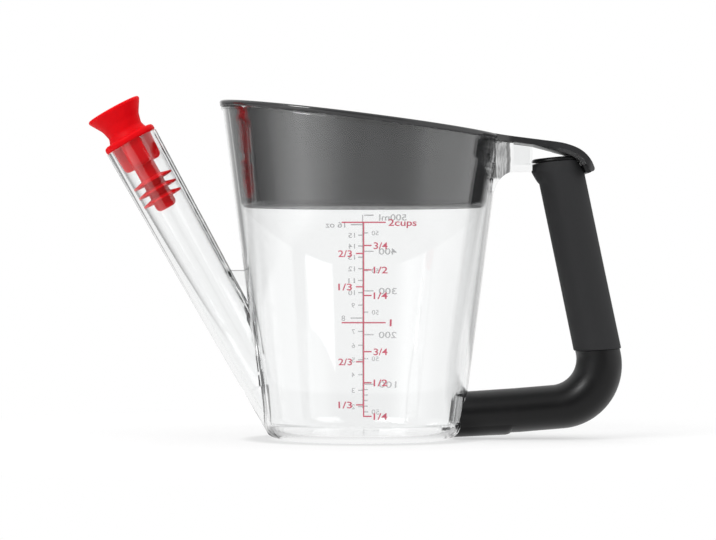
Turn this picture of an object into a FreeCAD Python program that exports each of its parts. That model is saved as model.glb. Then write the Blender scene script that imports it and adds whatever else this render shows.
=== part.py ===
import FreeCAD, Part
import os
from math import ceil, cos, pi, radians, sin, sqrt, tan
from FreeCAD import Placement, Rotation, Vector

# A gravy separator: a clear jug whose spout leaves at the floor, with a handle, a strainer lid and a
# stopper for the spout. Millimetres and degrees. The origin is the middle of the jug's flat base,
# +Z is up, the spout points to -X and the handle to +X.

# Jug: a cone that widens upwards, cut off by a sloping mouth
footRadius = 38.15  # outer radius of the cone, carried down to the table
wallLean = 7.45
jugWall = 2.0
jugFloor = 2.2
baseCorner = 7.5  # outer rounding between base and wall
mouthHeight = 124.9  # top of the lid's rim above the middle of the base
mouthTilt = 7.2  # fall of the mouth towards the handle
lipReach = 0.6
lipDepth = 1.3

# Spout: a tapered tube that meets the jug at the floor
spoutFoot = 26.3  # where the spout's axis would meet the table, from the jug's axis
spoutHeight = 115.6  # middle of the spout's rim above the table
spoutLean = 29.05
spoutTaper = 0.94
spoutRadius = 10.75  # outer radius at its rim
spoutWall = 2.05
toeCorner = 12.0  # outer rounding under the spout
toeFlare = 13.0  # how much flatter than the spout the cut under its toe is
passageDrop = 7.0  # top of the way into the spout, below where the spout's axis crosses the jug's wall
webHeight = 9.0  # of the web in the crotch between spout and jug
webThickness = 2.6

# Bracket: a clear channel from the jug to the top of the handle, under the lid's tongue
bracketWidth = 22.0
bracketWall = 1.8
bracketFloor = 2.4
bracketBend = 9.0  # rounding between the jug's wall and the channel's underside
crossWallInset = 7.2  # far face of the inner cross wall, from the channel's end
bracketGap = 0.4  # free height under the lid

# Tang: the tongue of the bracket inside the handle
tangDrop = 20.6  # underside of bracket and tang, below the height of the mouth
tangThickness = 3.0
tangWidth = 11.0
tangReach = 13.8  # beyond the end of the bracket
tangFit = 0.1

# Handle: an oval bar along the table, an elbow, and a leaning grip
armFoot = 6.25  # height of the arm's axis, carried back to the jug's axis
armRise = 4.75
armThickness = 17.2
armDepth = 23.6
armFit = 0.05
armStart = 35.5  # lowest end of the arm, under the rounding of the jug's base
armLift = 0.2  # least height above the table
padEnd = 57.0
padDrop = 0.6
padDepth = 19.0
gripFoot = 98.5  # where the grip's axis would meet the table
gripLean = 11.8
gripThickness = 18.1
gripDepth = 24.6
elbowRadius = 16.2
neckRise = 0.9  # line between the grip's sleeve and the bare neck, above the end of the elbow
neckTilt = 3.1
partingGap = 0.2
flareHeight = 4.6  # height over which the grip widens towards the jug, up to its beak
beakHeight = 5.9
beakReach = 0.8  # how far the beak stands out towards the jug
beakGap = 0.3  # between the bracket's end and the beak
capThickness = 1.5
capTilt = 5.0  # fall of the cap towards the jug
handleDrop = 15.1  # top of the handle, below the height of the mouth
handleRounding = 1.6
seamOpening = 0.7  # the cap's seam is open at the beak and closes towards the post
seamLength = 5.5
postThickness = 10.0
postDepth = 17.0
postFit = 0.05

# Socket for the handle's spigot, low in the jug's wall
spigotWidth = 14.0
spigotLow = 3.2
spigotTop = 16.4
spigotDepth = 2.3
spigotFit = 0.1
socketWall = 1.5

# Strainer lid
rimThickness = 2.2
rimReach = 0.9  # overhang outside the jug
rimRounding = 0.9
basketGap = 0.4
basketWall = 1.5
basketBottom = 90.0
basketCorner = 1.6
holeRadius = 1.7
holePitch = 7.0
holeMargin = 4.0  # bare floor between the outer holes and the basket's wall
tongueWidth = 27.0
tongueBlend = 12.0  # plan rounding between rim and tongue
tongueCorner = 6.0
tongueGap = 0.5  # free height over the handle
bendReach = 1.1  # where the first bend starts, before the grip's axis
firstBend = 28.0
firstTurn = 16.0
secondBend = 13.0
secondTurn = 49.0
ribThickness = 1.5  # of the rib under the bent part of the tongue
ribInset = 1.8
ribStart = 9.0  # before the first bend
ribRun = 11.0  # over which it gains its thickness

# Stopper
stopperGap = 0.15  # free width in the bore
headRadius = 11.2
headHeight = 14.9
headEdge = 0.9
headHollow = 0.95  # how far the flare under the head is drawn in
neckRadius = 7.1
neckHeight = 6.0
neckHollow = 0.45
flangeRadius = 10.6
flangeThickness = 2.8
flangeEdge = 1.1
stemRadius = 4.2
stemLength = 29.1
stemRounding = 1.8
wingLength = 10.0
wingThickness = 2.4
wingTaper = 0.7
wingRounding = 1.6
finDepth = 17.1  # first fin under the rim
finPitch = 3.9
finCount = 3
finEdge = 0.7
finRoot = 2.6

# Printed scales
inkThickness = 0.12
inkGap = 0.01
inkLine = 0.5
cupsPrinted = 2
ouncesPrinted = 16
ounceFoot = 1.5  # where the ounce line starts, in ounces
millilitresPrinted = 500
scaleExtra = 22.5  # what the spout and the floor's rounding add to the cone, in millilitres
cupVolume = 236.6
ounceVolume = 29.57
longTick = 8.3
quarterTick = 3.0
thirdTick = 2.9
ounceTick = 2.3
ounceLongTick = 5.4
millilitreStep = 50
millilitreFineStep = 10
millilitreFineEnd = 100
hundredTick = 4.2
fiftyTick = 1.9
tenTick = 1.7

# Worked out from the above
tangLow = mouthHeight - tangDrop
handleTop = mouthHeight - handleDrop
capSeam = handleTop - capThickness
beakBottom = handleTop - beakHeight
flareBottom = beakBottom - flareHeight
lean = radians(wallLean)
tilt = radians(mouthTilt)
slant = radians(spoutLean)
taper = radians(spoutTaper)
rise = radians(armRise)
back = radians(gripLean)
gripMiddle = gripFoot - handleTop * tan(back)  # the grip's axis at the handle's top
beakFront = gripMiddle - gripThickness / 2 / cos(back) - beakReach
bracketEnd = beakFront - beakGap
tangEnd = bracketEnd + tangReach
tongueStraight = gripMiddle - bendReach  # end of the tongue's straight run
ribDepth = rimThickness + ribThickness
diagonal = sqrt(0.5)
spoutReach = spoutFoot + spoutHeight * tan(slant)  # middle of the spout's rim from the jug's axis
jugTop = mouthHeight + spoutReach * sin(tilt)  # clear of the sloping mouth on every side
roomy = 2 * (spoutReach + gripFoot)  # larger than anything it is cut from
spoutLength = (spoutHeight + 2 * spoutRadius) / cos(slant)


def point(x, z, y=0.0):
    return Vector(x, y, z)


def line(start, end):
    return Part.LineSegment(start, end).toShape()


def arc(start, middle, end):
    return Part.Arc(start, middle, end).toShape()


def faceOf(edges):
    return Part.Face(Part.Wire(edges))


def polygon(points):
    return Part.Face(Part.makePolygon(points + points[:1]))


def turned(face):
    return face.revolve(Vector(0, 0, 0), Vector(0, 0, 1), 360)


def across(face, width):
    # A face in the XZ plane thickened to both sides of it.
    solid = face.extrude(Vector(0, width, 0))
    solid.translate(Vector(0, -width / 2, 0))
    return solid


def block(x0, x1, width, z0, z1):
    return Part.makeBox(x1 - x0, width, z1 - z0, Vector(x0, -width / 2, z0))


def above(height):
    return block(-roomy, roomy, 2 * roomy, height, height + roomy)


def below(height):
    return block(-roomy, roomy, 2 * roomy, height - roomy, height)


def tippedBelow(x, height, angle):
    # Everything under a plane through a point of the middle plane that climbs towards the handle.
    solid = below(0)
    solid.rotate(Vector(0, 0, 0), Vector(0, 1, 0), -angle)
    solid.translate(Vector(x, 0, height))
    return solid


def belowMouth(depth):
    # Everything under the sloping plane that lies this deep below the top of the lid's rim.
    solid = below(-depth)
    solid.rotate(Vector(0, 0, 0), Vector(0, 1, 0), mouthTilt)
    solid.translate(Vector(0, 0, mouthHeight))
    return solid


def joined(shapes):
    return shapes[0].fuse(shapes[1:])


# Cones

def leaningRadius(foot, angle, height, outward):
    return foot + height * tan(angle) + outward / cos(angle)


def coneRadius(height, outward=0.0):
    return leaningRadius(footRadius, lean, height, outward)


def roundedCone(foot, angle, outward, bottom, corner):
    # A cone about Z that widens upwards, moved outward square to its wall, with a rounded lower edge.
    middleHeight = bottom + corner
    middleRadius = leaningRadius(foot, angle, middleHeight, outward) - corner / cos(angle)
    halfway = -(pi / 2 + angle) / 2
    floorEnd = point(middleRadius, bottom)
    cornerMiddle = point(middleRadius + corner * cos(halfway), middleHeight + corner * sin(halfway))
    wallStart = point(middleRadius + corner * cos(angle), middleHeight - corner * sin(angle))
    wallEnd = point(leaningRadius(foot, angle, jugTop, outward), jugTop)
    edges = [
        line(point(0, bottom), floorEnd),
        arc(floorEnd, cornerMiddle, wallStart),
        line(wallStart, wallEnd),
        line(wallEnd, point(0, jugTop)),
        line(point(0, jugTop), point(0, bottom)),
    ]
    return turned(faceOf(edges))


def jugForm(outward, bottom):
    return roundedCone(footRadius, lean, outward, bottom, baseCorner + outward)


def basketForm(inward, bottom):
    corner = basketCorner + basketGap - inward + basketWall
    return roundedCone(footRadius, lean, -(jugWall + inward), bottom, corner)


# Spout

def alongSpout(shape):
    # From the spout's own axes, with its rim at zero height, to the object's.
    rim = Placement(Vector(-spoutReach, 0, spoutHeight), Rotation(Vector(0, 1, 0), -spoutLean))
    shape.Placement = rim
    return shape


def spoutCone(outward, over):
    low = spoutRadius + outward - spoutLength * tan(taper)
    high = spoutRadius + outward + over * tan(taper)
    return alongSpout(Part.makeCone(low, high, spoutLength + over, Vector(0, 0, -spoutLength)))


def spoutAxis(height):
    return -(spoutFoot + height * tan(slant))


def meeting(offset):
    # Height where a line this far from the spout's axis, on the jug's side, crosses the jug's wall.
    return (footRadius - spoutFoot + offset) / (tan(slant) - tan(lean))


def toeForm(outward, bottom):
    # The room that the foot of the spout may fill: flat at the bottom and rounded at its edge.
    depth = spoutHeight / cos(slant)
    edge = -spoutAxis(0) + (spoutRadius - depth * tan(taper)) / cos(slant)
    return roundedCone(edge, radians(spoutLean + toeFlare), outward, bottom, toeCorner + outward)


def boreRadius(depth):
    return spoutRadius - spoutWall - depth * tan(taper)


def spoutBore():
    bore = spoutCone(-spoutWall, spoutWall).common(toeForm(-jugWall, jugFloor))
    divider = jugForm(0, 0).common(above(meeting(0) - passageDrop))
    return bore.cut(divider)


def web():
    top = meeting(spoutRadius / cos(slant)) + webHeight
    corners = [
        point(spoutAxis(top), top),
        point(-coneRadius(top, -jugWall / 2), top),
        point(spoutAxis(meeting(0)), meeting(0)),
    ]
    return across(polygon(corners), webThickness)


# Bracket

def bracketFace(outward, end, low):
    # The side view of the channel, moved up and away from its underside when outward is negative.
    bend = bracketBend - outward
    middleHeight = low - bracketBend
    middleReach = coneRadius(middleHeight) + bracketBend / cos(lean)
    touch = point(middleReach - bend * cos(lean), middleHeight + bend * sin(lean))
    halfway = (pi / 2 + pi - lean) / 2
    middle = point(middleReach + bend * cos(halfway), middleHeight + bend * sin(halfway))
    levelStart = point(middleReach, middleHeight + bend)
    levelEnd = point(end, levelStart.z)
    hidden = coneRadius(middleHeight, -jugWall / 2)
    edges = [
        arc(touch, middle, levelStart),
        line(levelStart, levelEnd),
        line(levelEnd, point(end, jugTop)),
        line(point(end, jugTop), point(hidden, jugTop)),
        line(point(hidden, jugTop), point(hidden, touch.z)),
        line(point(hidden, touch.z), touch),
    ]
    return faceOf(edges)


def bracket():
    channel = across(bracketFace(0, bracketEnd, tangLow), bracketWidth)
    hollow = across(bracketFace(-bracketFloor, roomy, tangLow), bracketWidth - 2 * bracketWall)
    crossWallEnd = bracketEnd - crossWallInset
    crossWall = block(crossWallEnd - bracketWall, crossWallEnd, bracketWidth, tangLow, jugTop)
    shell = channel.cut(hollow.cut(crossWall))
    return shell.common(belowMouth(rimThickness + bracketGap))


def tang(fit):
    return block(bracketEnd - bracketWall, tangEnd + fit, tangWidth + 2 * fit, tangLow - fit,
                 tangLow + tangThickness + fit)


# Socket

def spigotBox(fit):
    root = coneRadius(spigotTop) + spigotDepth
    return block(footRadius - baseCorner, root, spigotWidth + 2 * fit, spigotLow - fit, spigotTop + fit)


def pocket(fit):
    inner = spigotDepth + fit
    return spigotBox(fit).cut(jugForm(-inner, inner))


def jugBody():
    lip = jugForm(lipReach, 0).common(belowMouth(rimThickness))
    lip = lip.cut(belowMouth(rimThickness + lipDepth))
    outside = jugForm(0, 0).common(belowMouth(rimThickness))
    spout = spoutCone(0, 0).common(toeForm(0, 0))
    shell = joined([outside, lip, spout, web(), bracket(), tang(0)])
    shell = shell.cut(jugForm(-jugWall, jugFloor))
    shell = shell.cut(spoutBore())
    housing = pocket(spigotFit + socketWall).common(jugForm(0, 0))
    return joined([shell, housing]).cut(pocket(spigotFit))


# Handle

def oval(height, left, right, depth):
    long = max(depth, right - left) / 2
    short = min(depth, right - left) / 2
    ring = Part.Ellipse(Vector(0, 0, 0), long, short).toShape()
    if depth > right - left:
        ring.rotate(Vector(0, 0, 0), Vector(0, 0, 1), 90)
    ring.translate(Vector((left + right) / 2, 0, height))
    return Part.Wire([ring])


def gripAxis(height):
    return gripFoot - height * tan(back)


def gripOval(height, thickness, depth, front=None):
    half = thickness / 2 / cos(back)
    left = gripAxis(height) - half if front is None else front
    return oval(height, left, gripAxis(height) + half, depth)


def gripBar(thickness, depth, low, high):
    face = Part.Face(gripOval(low, thickness, depth))
    return face.extrude(Vector(gripAxis(high) - gripAxis(low), 0, high - low))


def underCap(depth):
    return tippedBelow(gripMiddle, handleTop - depth, capTilt)


def gripForm():
    bar = gripBar(gripThickness, gripDepth, elbowCentre().z, flareBottom)
    waist = gripOval(flareBottom, gripThickness, gripDepth)
    brow = gripOval(beakBottom, gripThickness, gripDepth, beakFront)
    flare = Part.makeLoft([waist, brow], True, True)
    crown = Part.Face(brow).extrude(Vector(0, 0, 2 * beakHeight)).common(underCap(0))
    edges = [edge for edge in crown.Edges if edge.BoundBox.ZMin > (beakBottom + handleTop) / 2]
    crown = crown.makeFillet(handleRounding, edges).common(underTongue(tongueGap))
    return joined([bar, flare, crown])


def elbowTurn():
    return 90 + gripLean - armRise


def elbowStart():
    # Where the arm's axis leaves its straight run for the elbow's arc.
    cornerX = (gripFoot - armFoot * tan(back)) / (1 + tan(rise) * tan(back))
    run = elbowRadius * tan(radians(elbowTurn()) / 2)
    startX = cornerX - run * cos(rise)
    return point(startX, armFoot + startX * tan(rise))


def armFace(depth, drop):
    # The arm's oval section, square to its axis, where the elbow starts.
    ring = oval(0, -armThickness / 2, armThickness / 2, depth)
    face = Part.Face(ring)
    face.rotate(Vector(0, 0, 0), Vector(0, 1, 0), 90 - armRise)
    face.translate(elbowStart() - Vector(0, 0, drop))
    return face


def armBar(depth, drop):
    return armFace(depth, drop).extrude(Vector(-cos(rise), 0, -sin(rise)) * elbowStart().x)


def elbowCentre():
    return elbowStart() + Vector(-sin(rise), 0, cos(rise)) * elbowRadius


def elbow():
    return armFace(armDepth, 0).revolve(elbowCentre(), Vector(0, -1, 0), elbowTurn())


def underParting(gap):
    # Everything under the line where the sleeve starts, which clears the rear of the elbow's end.
    height = elbowCentre().z + (elbowRadius + armThickness / 2) * sin(back) + neckRise
    return tippedBelow(gripAxis(height), height + gap, neckTilt)


def neck():
    # The bare stretch between the elbow and the sleeve.
    face = armFace(armDepth, 0)
    face.rotate(elbowCentre(), Vector(0, -1, 0), elbowTurn())
    return face.extrude(Vector(-sin(back), 0, cos(back)) * gripDepth).common(underParting(0))


def seamWedge():
    low = capSeam - (gripMiddle - beakFront) * tan(radians(capTilt))
    corners = [
        point(beakFront - seamOpening, low),
        point(beakFront + seamLength, low + seamLength * tan(radians(capTilt))),
        point(beakFront - seamOpening, low - seamOpening),
    ]
    return across(polygon(corners), roomy)


def handleCore():
    outside = jugForm(armFit, -armFit)
    arm = armBar(armDepth, 0).common(block(armStart, roomy, roomy, armLift, roomy))
    pad = armBar(padDepth, padDrop).common(block(armStart, padEnd, roomy, armLift, roomy))
    bare = joined([arm, pad, elbow(), neck()]).cut(outside)
    post = gripBar(postThickness, postDepth, elbowCentre().z, handleTop + capThickness)
    post = post.common(underCap(capThickness / 2)).common(underTongue(tongueGap + capThickness / 2))
    cap = gripForm().cut(underCap(capThickness))
    return joined([bare, pocket(0), post, cap]).cut(tang(tangFit))


def handleGrip():
    sleeve = gripForm().common(underCap(capThickness)).cut(underParting(partingGap))
    core = gripBar(postThickness + 2 * postFit, postDepth + 2 * postFit, elbowCentre().z,
                   handleTop + capThickness)
    sleeve = sleeve.cut(core)
    return sleeve.cut(seamWedge()).cut(tang(tangFit))


# Lid

def heading(angle):
    return Vector(cos(angle), 0, sin(angle))


def downward(angle):
    # The direction square to a heading, on its lower side.
    return Vector(sin(angle), 0, -cos(angle))


def tongueLine(depth):
    # The tongue's side view at a depth under its upper surface: a straight run and two bends.
    first = -tilt
    second = first - radians(firstTurn)
    third = second - radians(secondTurn)
    root = point(0, mouthHeight)
    firstMiddle = root + heading(first) * (tongueStraight / cos(first)) + downward(first) * firstBend
    secondMiddle = firstMiddle - downward(second) * (firstBend - secondBend)

    def bow(middle, radius, start, end):
        return [middle - downward(angle) * radius for angle in (start, (start + end) / 2, end)]
    firstBow = bow(firstMiddle, firstBend - depth, first, second)
    secondBow = bow(secondMiddle, secondBend - depth, second, third)
    run = line(root + downward(first) * depth, firstBow[0])
    return [run, arc(*firstBow), arc(*secondBow)], secondBow[2], heading(third)


def tongueEnd():
    return tongueLine(0)[1].x + rimThickness


def tongueSide(top, bottom):
    upper, upperEnd, direction = tongueLine(top)
    lower, lowerEnd, direction = tongueLine(bottom)
    tip = (upperEnd + lowerEnd) / 2 + direction * ((bottom - top) / 2)
    root = line(lower[0].Vertexes[0].Point, upper[0].Vertexes[0].Point)
    return faceOf(upper + [arc(upperEnd, tip, lowerEnd)] + lower[::-1] + [root])


def tongueRib():
    # The rib runs to the tongue's tip and fades out towards the jug.
    side = across(tongueSide(rimThickness / 2, ribDepth), roomy)
    start = tongueStraight - ribStart
    top = mouthHeight - start * tan(tilt)
    corners = [
        point(start, top - rimThickness / cos(tilt)),
        point(start + ribRun, top - ribRun * tan(tilt) - ribDepth / cos(tilt)),
        point(start + ribRun, 0),
        point(roomy, 0),
        point(roomy, top),
        point(start, top),
    ]
    return side.common(across(polygon(corners), tongueWidth - 2 * ribInset))


def underTongue(gap):
    # Everything under the tongue's rib that keeps this clear of it.
    edges, end, direction = tongueLine(ribDepth + gap)
    start = edges[0].Vertexes[0].Point
    foot = end + direction * mouthHeight
    corner = point(start.x, foot.z)
    return across(faceOf(edges + [line(end, foot), line(foot, corner), line(corner, start)]), roomy)


def tonguePlan(reach):
    # The tongue seen from above: blended into the round rim, with rounded far corners.
    half = tongueWidth / 2
    fall = (footRadius + mouthHeight * tan(lean)) * tan(tilt)
    rim = coneRadius(mouthHeight - fall, rimReach) - rimRounding
    blendX = sqrt((rim + tongueBlend) ** 2 - (half + tongueBlend) ** 2)
    share = rim / (rim + tongueBlend)
    far = reach - tongueCorner

    def side(sign):
        bulge = Vector(blendX, sign * (half + tongueBlend), 0)
        touch = bulge * share
        edgeStart = Vector(blendX, sign * half, 0)
        middle = bulge + ((touch + edgeStart) / 2 - bulge).normalize() * tongueBlend
        edgeEnd = Vector(far, sign * half, 0)
        cornerEdge = Vector(far, sign * (half - tongueCorner), 0)
        cornerMiddle = cornerEdge + Vector(diagonal, sign * diagonal, 0) * tongueCorner
        cornerEnd = Vector(reach, sign * (half - tongueCorner), 0)
        return touch, middle, edgeStart, edgeEnd, cornerMiddle, cornerEnd
    left = side(1)
    right = side(-1)
    edges = [
        line(Vector(0, 0, 0), right[0]),
        arc(right[0], right[1], right[2]),
        line(right[2], right[3]),
        arc(right[3], right[4], right[5]),
        line(right[5], left[5]),
        arc(left[5], left[4], left[3]),
        line(left[3], left[2]),
        arc(left[2], left[1], left[0]),
        line(left[0], Vector(0, 0, 0)),
    ]
    return faceOf(edges).extrude(Vector(0, 0, jugTop))


def rimRing():
    ring = jugForm(rimReach, 0).common(belowMouth(0)).cut(belowMouth(rimThickness))
    widest = coneRadius(basketBottom, rimReach)
    edges = [edge for edge in ring.Edges if edge.BoundBox.XMax > widest and edge.BoundBox.YMax > widest]
    return ring.makeFillet(rimRounding, edges)


def strainerHoles():
    holes = []
    limit = coneRadius(basketBottom, -(jugWall + basketGap + basketWall)) - holeMargin - holeRadius
    rings = int(limit / holePitch)
    for ring in range(rings + 1):
        around = max(1, 6 * ring)
        for step in range(around):
            angle = 2 * pi * step / around
            place = Vector(ring * holePitch * cos(angle), ring * holePitch * sin(angle),
                           basketBottom - basketWall)
            holes.append(Part.makeCylinder(holeRadius, 3 * basketWall, place))
    return Part.makeCompound(holes)


def strainerLid():
    tongue = across(tongueSide(0, rimThickness), roomy).common(tonguePlan(tongueEnd()))
    outside = basketForm(basketGap, basketBottom).common(belowMouth(rimThickness / 2))
    inside = basketForm(basketGap + basketWall, basketBottom + basketWall)
    solid = joined([rimRing(), tongue, tongueRib(), outside]).cut(inside)
    return solid.cut(strainerHoles())


# Stopper

def stopperHead():
    edgeMiddle = headHeight - headEdge
    top = point(0, headHeight)
    edgeStart = point(headRadius - headEdge, headHeight)
    edgeEnd = point(headRadius - headEdge * (1 - diagonal), edgeMiddle - headEdge * diagonal)
    neckTop = point(neckRadius, neckHeight)
    flareMiddle = (edgeEnd + neckTop) / 2 - Vector(headHollow, 0, 0)
    shoulder = point(neckRadius + flangeEdge, flangeThickness)
    neckMiddle = (neckTop + shoulder) / 2 - Vector(neckHollow, 0, 0)
    flangeTop = point(flangeRadius - flangeEdge, flangeThickness)
    flangeMost = point(flangeRadius, flangeThickness - flangeEdge)
    turnIn = flangeEdge * (1 - diagonal)
    flangeTurn = point(flangeRadius - turnIn, flangeThickness - turnIn)
    edges = [
        line(point(0, 0), top),
        line(top, edgeStart),
        arc(edgeStart, point(headRadius, edgeMiddle), edgeEnd),
        arc(edgeEnd, flareMiddle, neckTop),
        arc(neckTop, neckMiddle, shoulder),
        line(shoulder, flangeTop),
        arc(flangeTop, flangeTurn, flangeMost),
        line(flangeMost, point(flangeRadius, flangeEdge / 2)),
        line(point(flangeRadius, flangeEdge / 2), point(flangeRadius - flangeEdge / 2, 0)),
        line(point(flangeRadius - flangeEdge / 2, 0), point(0, 0)),
    ]
    return turned(faceOf(edges))


def stopperStem():
    straight = stemLength - stemRounding
    flat = stemRadius - stemRounding
    tipMiddle = point(flat + stemRounding * diagonal, -straight - stemRounding * diagonal)
    edges = [
        line(point(0, 0), point(stemRadius, 0)),
        line(point(stemRadius, 0), point(stemRadius, -straight)),
        arc(point(stemRadius, -straight), tipMiddle, point(flat, -stemLength)),
        line(point(flat, -stemLength), point(0, -stemLength)),
        line(point(0, -stemLength), point(0, 0)),
    ]
    return turned(faceOf(edges))


def wingPair(turn):
    top = boreRadius(wingLength) - stopperGap
    low = top - wingTaper
    corners = [
        point(-top, 0),
        point(top, 0),
        point(low, -wingLength),
        point(-low, -wingLength),
    ]
    plates = across(polygon(corners), wingThickness)
    bottom = [edge for edge in plates.Edges if edge.BoundBox.ZMax < -wingLength / 2]
    plates = plates.makeFillet(wingRounding, [edge for edge in bottom if edge.BoundBox.XLength < wingTaper])
    plates.rotate(Vector(0, 0, 0), Vector(0, 0, 1), turn)
    return plates


def fin(number):
    depth = finDepth + number * finPitch
    reach = boreRadius(depth + finEdge / 2) - stopperGap
    corners = [
        point(0, finRoot / 2 - depth),
        point(stemRadius, finRoot / 2 - depth),
        point(reach, finEdge / 2 - depth),
        point(reach, -finEdge / 2 - depth),
        point(stemRadius, -finRoot / 2 - depth),
        point(0, -finRoot / 2 - depth),
    ]
    return turned(polygon(corners))


def spoutStopper():
    pieces = [stopperHead(), stopperStem(), wingPair(0), wingPair(90)]
    pieces += [fin(number) for number in range(finCount)]
    return alongSpout(joined(pieces))


# Printed scales

def fillHeight(volume):
    # Height that a volume in millilitres reaches in the jug's inner cone.
    floorRadius = coneRadius(jugFloor, -jugWall)
    cubed = floorRadius ** 3 + (volume - scaleExtra) * 1000 * 3 * tan(lean) / pi
    return (cubed ** (1 / 3) - coneRadius(0, -jugWall)) / tan(lean)


def tick(volume, x0, x1, side):
    height = fillHeight(volume)
    reach = coneRadius(height) + footRadius
    y0 = min(0, side * reach)
    return Part.makeBox(x1 - x0, reach, inkLine, Vector(x0, y0, height - inkLine / 2))


def upright(lowVolume, highVolume, side):
    low = fillHeight(lowVolume) - inkLine / 2
    high = fillHeight(highVolume) + inkLine / 2
    reach = coneRadius(high) + footRadius
    y0 = min(0, side * reach)
    return Part.makeBox(inkLine, reach, high - low, Vector(-inkLine / 2, y0, low))


def printed(boxes):
    film = jugForm(inkGap + inkThickness, 0).cut(jugForm(inkGap, 0))
    return joined(boxes).common(film)


def cupScale():
    front = -1
    boxes = [upright(cupVolume / 4, cupVolume * cupsPrinted, front)]
    for quarter in range(1, 4 * cupsPrinted + 1):
        if quarter % 4 == 0:
            boxes.append(tick(cupVolume * quarter / 4, -longTick, longTick, front))
        else:
            boxes.append(tick(cupVolume * quarter / 4, 0, quarterTick, front))
    for third in range(1, 3 * cupsPrinted):
        if third % 3 != 0:
            boxes.append(tick(cupVolume * third / 3, -thirdTick, 0, front))
    return printed(boxes)


def ounceScale():
    rear = 1
    boxes = [upright(ounceVolume * ounceFoot, ounceVolume * ouncesPrinted, rear)]
    for ounces in range(ceil(ounceFoot), ouncesPrinted + 1):
        length = ounceLongTick if ounces % 8 == 0 else ounceTick
        boxes.append(tick(ounceVolume * ounces, -length, 0, rear))
    return printed(boxes)


def millilitreScale():
    rear = 1
    lengths = {millilitreFineEnd: hundredTick, millilitreStep: fiftyTick, millilitreFineStep: tenTick}
    volumes = list(range(millilitreStep, millilitreFineEnd, millilitreFineStep))
    volumes += list(range(millilitreFineEnd, millilitresPrinted + 1, millilitreStep))
    boxes = []
    for volume in volumes:
        size = next(length for step, length in lengths.items() if volume % step == 0)
        boxes.append(tick(volume, inkLine / 2, size, rear))
    return printed(boxes)


def main():
    os.makedirs("parts", exist_ok=True)
    nodes = {
        "jug_body": jugBody,
        "handle_core": handleCore,
        "handle_grip": handleGrip,
        "strainer_lid": strainerLid,
        "spout_stopper": spoutStopper,
        "cup_scale": cupScale,
        "ounce_scale": ounceScale,
        "millilitre_scale": millilitreScale,
    }
    for name, build in nodes.items():
        shape = build()
        print(name, len(shape.Solids), "solids", round(shape.Volume, 1), "mm3", shape.isValid())
        shape.exportStep("parts/" + name + ".step")


main()
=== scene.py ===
from math import cos, pi, radians, sin, sqrt, tan

import bmesh
import bpy
import numpy as np
from mathutils import Euler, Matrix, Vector


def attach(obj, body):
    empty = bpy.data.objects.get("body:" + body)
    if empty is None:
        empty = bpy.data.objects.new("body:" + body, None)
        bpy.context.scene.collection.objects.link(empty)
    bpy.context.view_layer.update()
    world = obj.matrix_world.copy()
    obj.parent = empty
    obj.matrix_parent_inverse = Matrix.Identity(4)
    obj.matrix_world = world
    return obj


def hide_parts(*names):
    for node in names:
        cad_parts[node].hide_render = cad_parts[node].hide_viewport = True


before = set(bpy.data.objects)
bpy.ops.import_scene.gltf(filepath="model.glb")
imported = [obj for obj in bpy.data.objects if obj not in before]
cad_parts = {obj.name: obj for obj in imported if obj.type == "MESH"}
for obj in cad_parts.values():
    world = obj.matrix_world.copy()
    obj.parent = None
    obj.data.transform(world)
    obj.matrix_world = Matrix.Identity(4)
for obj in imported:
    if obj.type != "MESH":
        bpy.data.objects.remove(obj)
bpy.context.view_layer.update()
mm = 0.001
print("frame loaded")

# camera: level, far back, aimed a little under its own height

cameraSetup = {
    "distance": 1260 * mm,
    "height": 72.5 * mm,
    "lens": 162.4,
    "pitchDown": radians(0.302),
    "yaw": radians(0.1),
}


def makeCamera(setup):
    data = bpy.data.cameras.new("camera")
    data.lens = setup["lens"]
    data.sensor_width = 36
    data.clip_start = 0.05
    data.clip_end = 20
    camera = bpy.data.objects.new("camera", data)
    camera.location = (0, -setup["distance"], setup["height"])
    camera.rotation_euler = Euler((pi / 2 - setup["pitchDown"], 0, setup["yaw"]))
    bpy.context.scene.collection.objects.link(camera)
    bpy.context.scene.camera = camera


# mesh helpers: everything is worked out in millimetres and stored in metres

def wrappedGrid(rings):
    # rows of closed rings joined by quads, each end closed by a fan round the middle of its ring
    rows, columns = rings.shape[:2]
    index = np.arange(rows * columns).reshape(rows, columns)
    following = np.roll(index, -1, axis=1)
    quads = np.stack([index[:-1], following[:-1], following[1:], index[1:]], axis=-1).reshape(-1, 4)
    firstPole = np.full(columns, rows * columns)
    firstFan = np.stack([following[0], index[0], firstPole], axis=-1)
    lastFan = np.stack([index[-1], following[-1], firstPole + 1], axis=-1)
    points = np.concatenate([rings.reshape(-1, 3), rings[:1].mean(axis=1), rings[-1:].mean(axis=1)])
    return points, quads.tolist() + firstFan.tolist() + lastFan.tolist()


def newObject(name, points, faces):
    mesh = bpy.data.meshes.new(name)
    mesh.from_pydata((np.asarray(points) * mm).tolist(), [], faces)
    solid = bmesh.new()
    solid.from_mesh(mesh)
    bmesh.ops.remove_doubles(solid, verts=solid.verts, dist=1e-7)
    bmesh.ops.recalc_face_normals(solid, faces=solid.faces)
    solid.to_mesh(mesh)
    solid.free()
    piece = bpy.data.objects.new(name, mesh)
    bpy.context.scene.collection.objects.link(piece)
    return piece


def combine(piece, others, operation):
    # the pieces become one closed skin, or the others are cut away
    for other in others:
        step = piece.modifiers.new("combine", "BOOLEAN")
        step.operation = operation
        step.solver = "EXACT"
        step.object = other
    graph = bpy.context.evaluated_depsgraph_get()
    result = bpy.data.meshes.new_from_object(piece.evaluated_get(graph))
    piece.modifiers.clear()
    piece.data = result
    for other in others:
        bpy.data.objects.remove(other)


def smooth(piece, angle=32):
    piece.data.shade_smooth()
    piece.data.set_sharp_from_angle(angle=radians(angle))


def unit(vector):
    return vector / np.linalg.norm(vector)


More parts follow.
